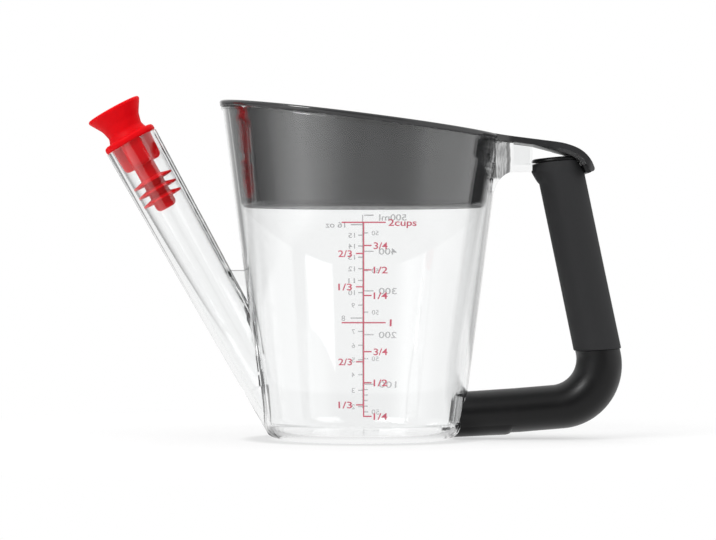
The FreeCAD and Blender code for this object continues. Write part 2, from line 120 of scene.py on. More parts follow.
def roundedLine(corners, steps=7):
    # corners are (x, z, radius); each rounded one becomes an arc that touches both its sides
    places = np.array([corner[:2] for corner in corners], float)
    runs = []
    for number, corner in enumerate(corners):
        here = places[number]
        radius = corner[2] if len(corner) > 2 else 0
        if radius == 0:
            runs.append(here[None])
            continue
        before = unit(places[number - 1] - here)
        after = unit(places[(number + 1) % len(corners)] - here)
        half = np.arccos(np.clip(before @ after, -1, 1)) / 2
        middle = here + unit(before + after) * radius / sin(half)
        start = here + before * radius / tan(half) - middle
        end = here + after * radius / tan(half) - middle
        angle = np.arctan2(start[0] * end[1] - start[1] * end[0], start @ end)
        turns = np.linspace(0, angle, steps)[:, None]
        side = np.array([-start[1], start[0]])
        runs.append(middle + start * np.cos(turns) + side * np.sin(turns))
    return np.concatenate(runs)


def lathe(profile, columns=128):
    # each profile point (radius, height) swept round the height axis
    angles = np.linspace(0, 2 * pi, columns, endpoint=False)
    ring = np.stack([np.cos(angles), np.sin(angles)], axis=-1)
    flat = profile[:, None, :1] * ring[None]
    height = np.broadcast_to(profile[:, None, 1:], flat.shape[:2] + (1,))
    return np.concatenate([flat, height], axis=-1)


# node helpers

def newMaterial(name):
    material = bpy.data.materials.new(name)
    material.use_nodes = True
    nodes = material.node_tree.nodes
    nodes.clear()
    output = nodes.new("ShaderNodeOutputMaterial")
    return material, nodes, material.node_tree.links, output


def newGroup(name, inputs, outputs):
    # an empty node group with its sockets, each given by name and kind
    group = bpy.data.node_groups.new(name, "ShaderNodeTree")
    for side, sockets in (("INPUT", inputs), ("OUTPUT", outputs)):
        for socket, kind in sockets.items():
            group.interface.new_socket(socket, in_out=side, socket_type="NodeSocket" + kind)
    given = group.nodes.new("NodeGroupInput")
    result = group.nodes.new("NodeGroupOutput")
    return group, group.nodes, group.links, given, result


def principled(nodes, values):
    shader = nodes.new("ShaderNodeBsdfPrincipled")
    for socket, value in values.items():
        shader.inputs[socket].default_value = value
    return shader


def mathNode(nodes, links, operation, first, second):
    node = nodes.new("ShaderNodeMath")
    node.operation = operation
    for socket, value in zip(node.inputs, (first, second)):
        if isinstance(value, (int, float)):
            socket.default_value = value
        else:
            links.new(value, socket)
    return node.outputs[0]


def plus(nodes, links, first, second):
    return mathNode(nodes, links, "ADD", first, second)


def minus(nodes, links, first, second):
    return mathNode(nodes, links, "SUBTRACT", first, second)


def times(nodes, links, first, second):
    return mathNode(nodes, links, "MULTIPLY", first, second)


def larger(nodes, links, first, second):
    return mathNode(nodes, links, "MAXIMUM", first, second)


def ramp(nodes, links, value, low, high):
    # smooth step: 0 at low and 1 at high
    node = nodes.new("ShaderNodeMapRange")
    node.interpolation_type = "SMOOTHSTEP"
    node.inputs["From Min"].default_value = low
    node.inputs["From Max"].default_value = high
    links.new(value, node.inputs["Value"])
    return node.outputs[0]


def remap(nodes, links, value, low, high, first=0.0, last=1.0):
    # straight line: first at low and last at high, held beyond both
    node = nodes.new("ShaderNodeMapRange")
    for socket, number in zip(("From Min", "From Max", "To Min", "To Max"), (low, high, first, last)):
        node.inputs[socket].default_value = number
    links.new(value, node.inputs["Value"])
    return node.outputs[0]


def edge(nodes, links, value, start, end):
    # 0 before start and 1 after end, both in mm
    return ramp(nodes, links, value, start * mm, end * mm)


def band(nodes, links, value, span, soft=0.2):
    # 1 between the ends of the span, in mm, with soft edges
    start = edge(nodes, links, value, span[0] - soft, span[0] + soft)
    end = edge(nodes, links, value, span[1] - soft, span[1] + soft)
    return minus(nodes, links, start, end)


def noise(nodes, links, place, scale, detail, roughness=0.55):
    texture = nodes.new("ShaderNodeTexNoise")
    texture.inputs["Scale"].default_value = scale
    texture.inputs["Detail"].default_value = detail
    texture.inputs["Roughness"].default_value = roughness
    links.new(place, texture.inputs["Vector"])
    return texture.outputs["Fac"]


def stretch(nodes, links, place, scale):
    mapping = nodes.new("ShaderNodeMapping")
    mapping.inputs["Scale"].default_value = scale
    links.new(place, mapping.inputs["Vector"])
    return mapping.outputs[0]


def splitOf(nodes, links, vector):
    node = nodes.new("ShaderNodeSeparateXYZ")
    links.new(vector, node.inputs[0])
    return node.outputs


def lengthOf(nodes, links, vector):
    node = nodes.new("ShaderNodeVectorMath")
    node.operation = "LENGTH"
    links.new(vector, node.inputs[0])
    return node.outputs["Value"]


def scaledColor(nodes, links, color, factor):
    node = nodes.new("ShaderNodeVectorMath")
    node.operation = "SCALE"
    if isinstance(color, tuple):
        node.inputs[0].default_value = color
    else:
        links.new(color, node.inputs[0])
    links.new(factor, node.inputs["Scale"])
    return node.outputs[0]


def mixed(nodes, links, factor, first, second):
    mix = nodes.new("ShaderNodeMixShader")
    for source, socket in zip((factor, first.outputs[0], second.outputs[0]), mix.inputs):
        links.new(source, socket)
    return mix


def addBump(nodes, links, shader, height, strength, depth):
    bump = nodes.new("ShaderNodeBump")
    bump.inputs["Strength"].default_value = strength
    bump.inputs["Distance"].default_value = depth * mm
    links.new(height, bump.inputs["Height"])
    links.new(bump.outputs[0], shader.inputs["Normal"])


# moulded surfaces: fine grain for the bump, slow drift and rubbed patches for colour and roughness

mouldedDetail = {
    "drift": {"scale": 28, "detail": 4, "tone": (0.88, 0.24)},
    "rubbed": {"stretch": (1, 1, 0.35), "scale": 90, "detail": 5, "roughness": 0.7, "range": (0.52, 0.72)},
}


def detailGroup(look):
    group, nodes, links, given, result = newGroup(
        "mouldedDetail", {"Color": "Color", "Rough": "Float", "Grain": "Float", "Wear": "Float"},
        {"Color": "Color", "Rough": "Float", "Height": "Float"})
    place = nodes.new("ShaderNodeTexCoord").outputs["Object"]
    grain = nodes.new("ShaderNodeTexNoise")
    grain.inputs["Detail"].default_value = 3
    links.new(place, grain.inputs["Vector"])
    links.new(given.outputs["Grain"], grain.inputs["Scale"])
    links.new(grain.outputs["Fac"], result.inputs["Height"])
    drift = look["drift"]
    least, swing = drift["tone"]
    tone = times(nodes, links, noise(nodes, links, place, drift["scale"], drift["detail"]), swing)
    rubbed = look["rubbed"]
    patches = noise(nodes, links, stretch(nodes, links, place, rubbed["stretch"]), rubbed["scale"],
                    rubbed["detail"], rubbed["roughness"])
    worn = times(nodes, links, remap(nodes, links, patches, *rubbed["range"]), given.outputs["Wear"])
    tone = plus(nodes, links, plus(nodes, links, tone, least), worn)
    links.new(scaledColor(nodes, links, given.outputs["Color"], tone), result.inputs["Color"])
    links.new(times(nodes, links, given.outputs["Rough"], tone), result.inputs["Rough"])
    return group


moulded = detailGroup(mouldedDetail)


def mouldedMaterial(name, look):
    material, nodes, links, output = newMaterial(name)
    shader = principled(nodes, look["shader"])
    detail = nodes.new("ShaderNodeGroup")
    detail.node_tree = moulded
    detail.inputs["Color"].default_value = (*look["color"], 1)
    detail.inputs["Rough"].default_value = look["rough"]
    detail.inputs["Grain"].default_value = look["grain"]
    detail.inputs["Wear"].default_value = look["wear"]
    links.new(detail.outputs["Color"], shader.inputs["Base Color"])
    links.new(detail.outputs["Rough"], shader.inputs["Roughness"])
    addBump(nodes, links, shader, detail.outputs["Height"], look["bump"], look["depth"])
    links.new(shader.outputs[0], output.inputs["Surface"])
    return material


# stage: floor, world, lamps; the room's stops run from the front (-1) to the back (1)

studio = {
    "front": 0.15,
    "frontEdge": (-0.90, -0.62),
    "sides": (-0.25, 0.25),
    "top": 0.9,
    "left": ((-1.0, 0.70), (-0.94, 1.0), (-0.82, 1.5), (-0.6, 2.0), (-0.2, 1.05), (-0.05, 0.62), (0.12, 0.36),
             (0.33, 0.18), (0.6, 0.13), (0.88, 0.2), (0.975, 1.0)),
    "right": ((-1.0, 0.68), (-0.9, 0.64), (-0.78, 0.74), (-0.57, 1.2), (-0.3, 1.25), (0.03, 1.1), (0.44, 0.92),
              (0.66, 0.5), (0.88, 0.55), (0.975, 1.0)),
    "least": 0.35,
    "behind": (0.0, 0.2),
    "upward": (0.08, 0.32),
    "frontal": (-0.5, -0.75),
    "frontalUpward": (0.5, 0.85),
}


def studioTone(look):
    # brightness of the room round the set: soft panels at both sides, a white backdrop and darker gaps between
    group, nodes, links, given, result = newGroup(
        "studioTone", {"Direction": "Vector", "Front": "Float"}, {"Tone": "Float"})
    flat = nodes.new("ShaderNodeVectorMath")
    flat.operation = "MULTIPLY"
    flat.inputs[1].default_value = (1, 1, 0)
    links.new(given.outputs["Direction"], flat.inputs[0])
    level = nodes.new("ShaderNodeVectorMath")
    level.operation = "NORMALIZE"
    links.new(flat.outputs[0], level.inputs[0])
    way = splitOf(nodes, links, level.outputs[0])

    def curve(stops):
        # tones are kept at half their value, because a ramp's colours go up to one; the ramp runs from -1 to 1
        node = nodes.new("ShaderNodeValToRGB")
        elements = node.color_ramp.elements
        while len(elements) < len(stops):
            elements.new(0.5)
        for element, (place, tone) in zip(elements, stops):
            element.position = (place + 1) / 2
            element.color = (tone / 2, tone / 2, tone / 2, 1)
        links.new(plus(nodes, links, times(nodes, links, way["Y"], 0.5), 0.5), node.inputs["Fac"])
        return times(nodes, links, node.outputs["Color"], 2.0)

    left = curve(look["left"])
    panel = times(nodes, links, minus(nodes, links, curve(look["right"]), left),
                  ramp(nodes, links, way["X"], *look["sides"]))
    panel = plus(nodes, links, panel, left)
    front = given.outputs["Front"]
    shade = times(nodes, links, minus(nodes, links, 1.0, front), ramp(nodes, links, way["Y"], *look["frontEdge"]))
    links.new(times(nodes, links, panel, plus(nodes, links, shade, front)), result.inputs["Tone"])
    return group


roomTone = studioTone(studio)


def toneOf(nodes, links, direction, front):
    node = nodes.new("ShaderNodeGroup")
    node.node_tree = roomTone
    node.inputs["Front"].default_value = front
    links.new(direction, node.inputs["Direction"])
    return node.outputs["Tone"]


def liftGap(nodes, links, tone, back, look):
    # behind the set the darker gaps are raised to a least tone
    lack = larger(nodes, links, minus(nodes, links, look["least"], tone), 0.0)
    return plus(nodes, links, tone, times(nodes, links, lack, ramp(nodes, links, back, *look["behind"])))


floorLook = {
    "side": 6.0,
    "color": (0.86, 0.86, 0.86),
    "fade": (100, 240),
    "glow": 0.55,
    # painted contact shadow: a soft dark ring on the floor where the jug stands
    "paintedContactShadow": {"span": (35, 46), "soft": 4.0, "dark": 0.42},
    "sheet": (380, 440),
    "sheetTone": 0.95,
    "farther": (1000, 1500),
    # painted dark reflection: an oval that only reflections of the floor see
    "darkReflectionPatch": {"middle": (-0.735, 0.522, 0.0), "turn": radians(52.0), "half": (0.29, 0.095, 1.0),
             "edge": (0.8, 1.2), "tone": 0.2},
}


def cardShade(nodes, links, place, darkReflectionPatch):
    # painted dark reflection: an oval on the floor, behind and to the left, that only reflections see; its tone inside,
    # 1 outside
    local = nodes.new("ShaderNodeMapping")
    local.vector_type = "TEXTURE"
    local.inputs["Location"].default_value = darkReflectionPatch["middle"]
    local.inputs["Rotation"].default_value = (0, 0, darkReflectionPatch["turn"])
    local.inputs["Scale"].default_value = darkReflectionPatch["half"]
    links.new(place, local.inputs["Vector"])
    clear = ramp(nodes, links, lengthOf(nodes, links, local.outputs[0]), *darkReflectionPatch["edge"])
    return plus(nodes, links, times(nodes, links, clear, 1.0 - darkReflectionPatch["tone"]), darkReflectionPatch["tone"])


def floorMaterial(look):
    # shadows fall on the diffuse middle, which fades into plain white; reflections see a white sheet and, beyond
    # it, the room's tone and a painted dark reflection; a painted contact shadow, a soft dark ring, lies where the jug
    # stands
    material, nodes, links, output = newMaterial("studioFloor")
    place = nodes.new("ShaderNodeTexCoord").outputs["Object"]
    distance = lengthOf(nodes, links, place)
    paintedContactShadow = look["paintedContactShadow"]
    # painted contact shadow: the ring darkens the floor's colour, both where it is lit and in its reflections
    ring = band(nodes, links, distance, paintedContactShadow["span"], paintedContactShadow["soft"])
    paintedShadowFactor = minus(nodes, links, 1.0, times(nodes, links, ring, paintedContactShadow["dark"]))
    diffuse = nodes.new("ShaderNodeBsdfDiffuse")
    links.new(scaledColor(nodes, links, look["color"], paintedShadowFactor), diffuse.inputs["Color"])
    fade = remap(nodes, links, edge(nodes, links, distance, *look["fade"]), 0.0, 1.0, look["glow"])
    ground = mixed(nodes, links, fade, diffuse, nodes.new("ShaderNodeEmission"))
    near = toneOf(nodes, links, place, 1.0)
    gain = minus(nodes, links, liftGap(nodes, links, near, splitOf(nodes, links, place)["Y"], studio), near)
    gain = times(nodes, links, gain, edge(nodes, links, distance, *look["farther"]))
    extra = minus(nodes, links, plus(nodes, links, near, gain), look["sheetTone"])
    extra = times(nodes, links, extra, edge(nodes, links, distance, *look["sheet"]))
    total = plus(nodes, links, times(nodes, links, paintedShadowFactor, look["sheetTone"]), extra)
    # the floor as reflections see it, with the painted dark reflection
    seen = nodes.new("ShaderNodeEmission")
    links.new(times(nodes, links, total, cardShade(nodes, links, place, look["darkReflectionPatch"])), seen.inputs["Color"])
    glossy = nodes.new("ShaderNodeLightPath").outputs["Is Glossy Ray"]
    links.new(mixed(nodes, links, glossy, ground, seen).outputs[0], output.inputs["Surface"])
    return material


def makeStage(look):
    side = look["side"]
    mesh = bpy.data.meshes.new("studio_floor")
    mesh.from_pydata([(-side, -side, 0), (side, -side, 0), (side, side, 0), (-side, side, 0)], [], [(0, 1, 2, 3)])
    floor = bpy.data.objects.new("studio_floor", mesh)
    floor.data.materials.append(floorMaterial(look))
    bpy.context.scene.collection.objects.link(floor)


def makeWorld(look):
    # plain white behind everything; reflections and the light come from the room, which gets brighter upwards,
    # but later so straight in front
    world = bpy.data.worlds.new("studio")
    bpy.context.scene.world = world
    world.use_nodes = True
    nodes = world.node_tree.nodes
    links = world.node_tree.links
    nodes.clear()
    direction = nodes.new("ShaderNodeTexCoord").outputs["Generated"]
    way = splitOf(nodes, links, direction)
    tone = liftGap(nodes, links, toneOf(nodes, links, direction, look["front"]), way["Y"], look)
    lift = minus(nodes, links, look["top"], tone)
    raised = ramp(nodes, links, way["Z"], *look["frontalUpward"])
    held = times(nodes, links, ramp(nodes, links, way["Y"], *look["frontal"]), minus(nodes, links, 1.0, raised))
    lift = times(nodes, links, lift, ramp(nodes, links, way["Z"], *look["upward"]))
    lift = times(nodes, links, lift, minus(nodes, links, 1.0, held))
    room = nodes.new("ShaderNodeBackground")
    links.new(plus(nodes, links, tone, lift), room.inputs["Color"])
    white = nodes.new("ShaderNodeBackground")
    white.inputs["Color"].default_value = (1, 1, 1, 1)
    direct = nodes.new("ShaderNodeLightPath").outputs["Is Camera Ray"]
    output = nodes.new("ShaderNodeOutputWorld")
    links.new(mixed(nodes, links, direct, room, white).outputs[0], output.inputs["Surface"])


lampPlan = {
    "key": {"place": (-0.9, -1.1, 1.1), "size": (1.1, 1.1), "power": 13, "glints": False},
    "fill": {"place": (1.1, -1.0, 0.9), "size": (0.9, 1.1), "power": 6, "glints": False},
    "top": {"place": (0.0, 0.1, 1.5), "size": (1.8, 1.4), "power": 5, "glints": False},
    "spot": {"place": (-0.73, -0.585, 0.835), "size": (0.3, 0.3), "power": 8.5, "glints": True},
}
lampAim = Vector((0, 0, 0.06))


def makeLamps():
    # a lamp gives either the glints or the soft light
    for name, plan in lampPlan.items():
        data = bpy.data.lights.new(name, "AREA")
        data.shape = "RECTANGLE"
        data.size, data.size_y = plan["size"]
        data.energy = plan["power"]
        lamp = bpy.data.objects.new(name, data)
        lamp.location = plan["place"]
        lamp.rotation_euler = (lampAim - lamp.location).to_track_quat("-Z", "Y").to_euler()
        lamp.visible_glossy = plan["glints"]
        lamp.visible_diffuse = not plan["glints"]
        bpy.context.scene.collection.objects.link(lamp)


makeCamera(cameraSetup)
makeStage(floorLook)
makeWorld(studio)
makeLamps()
print("stage made")

# jug: clear plastic with faint flow lines from the moulding and fine scratches

jugLook = {
    "tint": (0.975, 0.98, 0.98),
    "ior": 1.49,
    "shadowTint": (0.93, 0.935, 0.935, 1),
    "flow": {"stretch": (1.0, 1.0, 0.12), "scale": 26.0, "strength": 0.35, "depth": 0.35},
    "scratches": {"stretch": (1, 1, 6), "scale": 180, "range": (0.5, 0.8), "rough": (0.004, 0.05)},
    # the bracket: a matt panel with painted shade in streaks, painted shade in the crease at the jug's wall and a
    # painted dark stripe at the cross wall's edge, in mm along X
    "bottom": 101.5,
    "panel": {"span": (51.6, 55.8), "stretch": (1, 0.3, 0.14), "scale": 1500, "range": (0.36, 0.64),
              "tone": (0.3, 0.75), "rough": 0.12},
    "crease": {"span": (50.6, 51.4), "height": 104.0, "lean": -0.055, "dark": 0.95},
    "stripe": {"span": (55.8, 56.7), "wave": 1.8, "scale": 160, "dark": 0.9},
    # painted shade along the rounded top edge of the web between jug and spout
    "ledge": {"span": (-52.6, -46.6), "height": (65.5, 67.1), "dark": 0.55},
}


def mouldMarks(nodes, links, place, look):
    # how dark the painted shade on the bracket and the web is, and where the matt panel lies
    sides = splitOf(nodes, links, place)
    across, up = sides["X"], sides["Z"]
    high = edge(nodes, links, up, look["bottom"] - 0.5, look["bottom"] + 0.5)
    # painted shade in streaks over the matt panel; the panel's roughness makes it matt
    panel = look["panel"]
    streaks = noise(nodes, links, stretch(nodes, links, place, panel["stretch"]), panel["scale"], 3, 0.6)
    inPanel = band(nodes, links, across, panel["span"])
    dark = times(nodes, links, inPanel, remap(nodes, links, streaks, *panel["range"], *panel["tone"]))
    # painted shade in the crease where the bracket meets the jug's wall
    crease = look["crease"]
    leaning = times(nodes, links, minus(nodes, links, up, crease["height"] * mm), -crease["lean"])
    line = band(nodes, links, plus(nodes, links, leaning, across), crease["span"])
    dark = larger(nodes, links, dark, times(nodes, links, line, crease["dark"]))
    # a painted dark stripe where the cross wall's edge looks dark
    stripe = look["stripe"]
    wave = noise(nodes, links, stretch(nodes, links, place, (0, 0, 1)), stripe["scale"], 1)
    wave = times(nodes, links, minus(nodes, links, wave, 0.5), stripe["wave"] * mm)
    line = band(nodes, links, plus(nodes, links, across, wave), stripe["span"])
    dark = larger(nodes, links, dark, times(nodes, links, line, stripe["dark"]))
    dark = times(nodes, links, dark, high)
    # painted shade along the web's rounded top edge
    ledge = look["ledge"]
    line = times(nodes, links, band(nodes, links, across, ledge["span"]), band(nodes, links, up, ledge["height"]))
    dark = plus(nodes, links, dark, times(nodes, links, line, ledge["dark"]))
    return dark, times(nodes, links, inPanel, high)


def clearPlastic(look):
    material, nodes, links, output = newMaterial("clearPlastic")
    shader = principled(nodes, {"IOR": look["ior"], "Transmission Weight": 1.0})
    place = nodes.new("ShaderNodeTexCoord").outputs["Object"]
    dark, panel = mouldMarks(nodes, links, place, look)
    # the clear tint is darkened by the painted shade on the bracket and the web
    tint = scaledColor(nodes, links, look["tint"], minus(nodes, links, 1.0, dark))
    links.new(tint, shader.inputs["Base Color"])
    flow = look["flow"]
    waves = noise(nodes, links, stretch(nodes, links, place, flow["stretch"]), flow["scale"], 2, 0.4)
    addBump(nodes, links, shader, waves, flow["strength"], flow["depth"])
    scratches = look["scratches"]
    fine = noise(nodes, links, stretch(nodes, links, place, scratches["stretch"]), scratches["scale"], 6, 0.75)
    rough = remap(nodes, links, fine, *scratches["range"], *scratches["rough"])
    matt = times(nodes, links, panel, look["panel"]["rough"])
    links.new(plus(nodes, links, rough, matt), shader.inputs["Roughness"])
    through = nodes.new("ShaderNodeBsdfTransparent")
    through.inputs["Color"].default_value = look["shadowTint"]
    path = nodes.new("ShaderNodeLightPath")
    either = larger(nodes, links, path.outputs["Is Shadow Ray"], path.outputs["Is Diffuse Ray"])
    links.new(mixed(nodes, links, either, shader, through).outputs[0], output.inputs["Surface"])
    return material


def dress(node, material):
    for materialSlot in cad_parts[node].material_slots:
        materialSlot.material = material


dress("jug_body", clearPlastic(jugLook))
print("jug dressed")

# shape of the jug that other pieces follow

jugShape = {"foot": 38.15, "lean": radians(7.45), "corner": 7.5, "wall": 2.0, "floor": 2.2}


def jugRadius(height, outward=0.0):
    # cone: foot + height * tan(lean); near the base the radius of the rounding's circle at that height
    shape = jugShape
    corner = shape["corner"] + outward
    middle = shape["corner"]
    middleRadius = shape["foot"] + middle * tan(shape["lean"]) + (outward - corner) / cos(shape["lean"])
    wallStart = middle - corner * sin(shape["lean"])
    cone = shape["foot"] + height * tan(shape["lean"]) + outward / cos(shape["lean"])
    drop = np.clip(middle - height, 0, corner)
    rounded = middleRadius + np.sqrt(corner ** 2 - drop ** 2)
    return np.where(height > wallStart, cone, rounded)


# strainer lid: glossy black, with rounded corners along the rib under its tongue

lidLook = {"color": (0.028, 0.028, 0.029), "rough": 0.07, "grain": 900.0, "wear": 0.25, "bump": 0.02, "depth": 0.05,
           "dull": 0.4, "downward": (-0.4, -0.8), "shader": {"IOR": 1.5, "Specular IOR Level": 0.5}}
tongue = {
    "mouth": 124.9,
    "tilt": radians(7.2),
    "straight": 74.46,
    "bends": ((28.0, radians(16.0)), (13.0, radians(49.0))),
    "thickness": 2.2,
    "half": 13.5,
    "rib": 1.5,
    "ribInset": 1.8,
    "ribStart": 9.0,
    "ribRun": 11.0,
    # how far the fillets reach into the tongue and the rib, and lie inside the tongue's edge
    "sunk": 0.05,
    "inset": 0.25,
}


def tongueUnderside(plan, depth):
    # side view of the tongue at a depth under its top: a straight run, then two arcs, as (x, z) rows
    heading = -plan["tilt"]
    place = np.array([plan["straight"], plan["mouth"] - plan["straight"] * tan(plan["tilt"])])
    normal = np.array([sin(heading), -cos(heading)]) * np.array([-1, 1])
    rows = [np.array([0.0, plan["mouth"]]) + normal * depth, place + normal * depth]
    for radius, turn in plan["bends"]:
        middle = place + np.array([sin(heading), -cos(heading)]) * radius
        angles = np.linspace(heading, heading - turn, 12)
        outward = np.stack([-np.sin(angles), np.cos(angles)], axis=-1)
        rows.extend(middle + outward * (radius - depth))
        heading -= turn
        place = middle + outward[-1] * radius
    return np.array(rows)


def makeFillets(plan):
    # a three-cornered bar along each side of the rib: under the tongue's edge, down the rib, and slanting between
    upper = tongueUnderside(plan, plan["thickness"] - plan["sunk"])
    lower = tongueUnderside(plan, plan["thickness"] + plan["rib"] - plan["sunk"])
    reach = plan["straight"] - plan["ribStart"] + np.linspace(0, plan["ribStart"], 8, endpoint=False)

    def resampled(line):
        start = np.stack([reach, np.interp(reach, line[:2, 0], line[:2, 1])], axis=-1)
        return np.concatenate([start, line[1:-3]])

    upper, lower = resampled(upper), resampled(lower)
    steps = np.linalg.norm(np.diff(upper, axis=0), axis=1)
    travelled = np.concatenate([[0], np.cumsum(steps)])
    grown = np.clip((travelled - 0.5) / plan["ribRun"], 0.02, 1)[:, None]
    lower = upper + (lower - upper) * grown
    points = []
    faces = []
    for side in (-1, 1):
        outer = np.full(len(upper), side * (plan["half"] - plan["inset"]))
        inner = np.full(len(upper), side * (plan["half"] - plan["ribInset"] - plan["sunk"]))
        corners = ((upper, outer), (lower, inner), (upper, inner))
        rings = np.stack([np.stack([line[:, 0], y, line[:, 1]], axis=-1) for line, y in corners], axis=1)
        own, skin = wrappedGrid(rings)
        offset = sum(len(part) for part in points)
        points.append(own)
        faces += [[vertex + offset for vertex in face] for face in skin]
    piece = newObject("tongue_fillets", np.concatenate(points), faces)
    smooth(piece)
    # the fillets are the lid's black plastic in a lighter colour: painted light from the floor on faces that look down;
    # a higher roughness makes them satin
    piece.data.materials.append(mouldedMaterial("satinEdgeWithPaintedLight", dict(lidLook, color=(0.045, 0.045, 0.046), rough=0.25)))
    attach(piece, "lid")


def lidMaterial(look):
    # the outside is polished; faces that look down keep the mould's dull finish
    material = mouldedMaterial("glossBlack", look)
    nodes = material.node_tree.nodes
    links = material.node_tree.links
    shader = next(node for node in nodes if node.type == "BSDF_PRINCIPLED")
    polished = shader.inputs["Roughness"].links[0].from_socket
    facing = splitOf(nodes, links, nodes.new("ShaderNodeTexCoord").outputs["Normal"])
    dull = remap(nodes, links, facing["Z"], *look["downward"], 0.0, look["dull"])
    links.new(larger(nodes, links, polished, dull), shader.inputs["Roughness"])
    return material


dress("strainer_lid", lidMaterial(lidLook))
makeFillets(tongue)
print("lid dressed")

# stopper: red silicone, turned profile with two crossed wings

stopper = {
    "reach": 90.51,
    "height": 115.6,
    "lean": radians(29.05),
    "head": 14.9,
    "headRadius": 11.2,
    "neck": (7.1, 5.2),
    "flange": (10.6, 2.8),
    "stem": 4.2,
    "length": 29.1,
    "rounding": 1.8,
    "bore": 8.7,
    "boreTaper": tan(radians(0.94)),
    "fit": 0.15,
    "fins": (17.1, 21.0, 24.9),
    "finLow": 0.45,
    "finHigh": 0.35,
    "finRoot": (0.5, 1.5),
    "wing": (10.0, 0.7),
    "wingThickness": (2.4, 7.6),
    "look": {"color": (0.68, 0.0012, 0.005), "rough": 0.5, "grain": 700.0, "wear": 0.12, "bump": 0.12, "depth": 0.06,
             "shader": {"IOR": 1.43, "Specular IOR Level": 0.1, "Subsurface Weight": 0.35,
                        "Subsurface Radius": (1.0, 0.12, 0.12), "Subsurface Scale": 0.003}},
}


def stopperProfile(plan):
    # (radius, height) from the flat end up past fins, rim, flange and neck to the head, each corner rounded by its
    # own radius; a fin's radius is the bore there less the fit, and the bore narrows evenly with depth
    stem = plan["stem"]
    corners = [(0, -plan["length"]), (stem, -plan["length"], plan["rounding"])]
    for depth in reversed(plan["fins"]):
        reach = plan["bore"] - depth * plan["boreTaper"] - plan["fit"]
        low, high = plan["finRoot"]
        corners += [
            (stem, -depth + low, 0.3),
            (reach, -depth - plan["finLow"], 0.3),
            (reach, -depth + plan["finHigh"], 0.3),
            (stem, -depth + high, 0.5),
        ]
    neckRadius, neckHeight = plan["neck"]
    flangeRadius, flangeHeight = plan["flange"]
    headRadius = plan["headRadius"]
    head = plan["head"]
    corners += [
        (stem, 0, 0.5),
        (flangeRadius, 0, 1.0),
        (flangeRadius, flangeHeight, 1.25),
        (neckRadius + 0.9, flangeHeight, 0.5),
        (neckRadius, neckHeight, 2.0),
        (neckRadius + 0.9, neckHeight + 3.6, 6.0),
        (headRadius - 0.2, head - 1.2, 0.6),
        (headRadius, head, 0.7),
        (0, head),
    ]
    return roundedLine(corners)


def plate(outline, thickness, turn):
    # a flat outline (x, z) repeated at levels across its thickness, a little smaller at both faces, then turned
    # about the height axis
    half = thickness / 2
    rows = [(-half, 0.96), (-half + 0.25, 1), (half - 0.25, 1), (half, 0.96)]
    middle = outline.mean(axis=0)
    rings = []
    for level, size in rows:
        flat = middle + (outline - middle) * size
        across = np.full(len(flat), level)
        rings.append(np.stack([flat[:, 0] * cos(turn) - across * sin(turn), flat[:, 0] * sin(turn) + across * cos(turn),
                               flat[:, 1]], axis=-1))
    return np.array(rings)


def makeStopper(plan):
    # own axes: x across, z along the spout, origin in the middle of the rim; turned by the spout's lean and moved
    def placed(points):
        slope = plan["lean"]
        x = -plan["reach"] + points[:, 0] * cos(slope) - points[:, 2] * sin(slope)
        z = plan["height"] + points[:, 0] * sin(slope) + points[:, 2] * cos(slope)
        return np.stack([x, points[:, 1], z], axis=-1)

    points, faces = wrappedGrid(lathe(stopperProfile(plan)))
    piece = newObject("stopper_red", placed(points), faces)
    length, taper = plan["wing"]
    wide = plan["bore"] - length * plan["boreTaper"] - plan["fit"]
    outline = roundedLine([(-wide, 0.5), (-wide + taper, -length, 1.8), (wide - taper, -length, 1.8), (wide, 0.5)])
    wings = []
    for thickness, turn in zip(plan["wingThickness"], (0, pi / 2)):
        points, faces = wrappedGrid(plate(outline, thickness, turn))
        wings.append(newObject("wing", placed(points), faces))
    combine(piece, wings, "UNION")
    smooth(piece)
    piece.data.materials.clear()
    piece.data.materials.append(mouldedMaterial("redSilicone", plan["look"]))
    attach(piece, "stopper")
    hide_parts("spout_stopper")


makeStopper(stopper)
print("stopper made")

# handle: arm, elbow and neck of hard plastic, then the rubber sleeve and the cap over its post

handle = {
    "armFoot": 6.25,
    "armRise": tan(radians(4.75)),
    "armHalf": 8.6,
    "armDepth": 23.6,
    "armStart": 44.0,
    "wallGap": 0.05,
    "ground": 0.2,
    "gripFoot": 98.5,
    "gripBack": tan(radians(11.8)),
    "neckHalf": 8.6,
    "gripHalf": 9.05,
    "gripDepth": 24.6,
    "innerRadius": 10.2,
    "outerRadius": 24.8,
    "parting": 34.78,
    "partingTilt": tan(radians(3.1)),
    "partingGap": 0.2,
    "partingFade": 30,
    "capTop": 109.8,
    "capTilt": tan(radians(5.0)),
    "capThickness": 1.5,
    "capRows": ((1.5, 0.93), (1.42, 0.985), (1.2, 1.0), (0.95, 1.0), (0.55, 0.985), (0.25, 0.955), (0.06, 0.91),
                (0.0, 0.85), (-0.1, 0.6), (-0.15, 0.3)),
    "roofGap": 0.5,
    "beakFront": 65.5,
    "beakLow": 99.3,
    "beakHigh": 103.9,
    "flarePower": 0.8,
    "seam": 0.45,
    "seamLength": 5.5,
    "seamGap": 0.08,
    "pad": {"reach": (44.0, 48.0, 52.0, 55.2, 56.2, 57.0, 57.8), "sink": (0, 0, 0, 0, 0.12, 0.45, 1.4),
            "drop": 0.6, "thickness": 9.0, "depth": 19.0},
    "coreLook": {"color": (0.005, 0.005, 0.0053), "rough": 0.38, "grain": 1500.0, "wear": 0.3, "bump": 0.10,
                 "depth": 0.05, "shader": {"IOR": 1.45, "Specular IOR Level": 0.28}},
    "gripLook": {"color": (0.024, 0.0242, 0.0253), "rough": 0.7, "grain": 2200.0, "wear": 0.2, "bump": 0.25,
                 "depth": 0.08, "shader": {"IOR": 1.45, "Specular IOR Level": 0.25}},
}


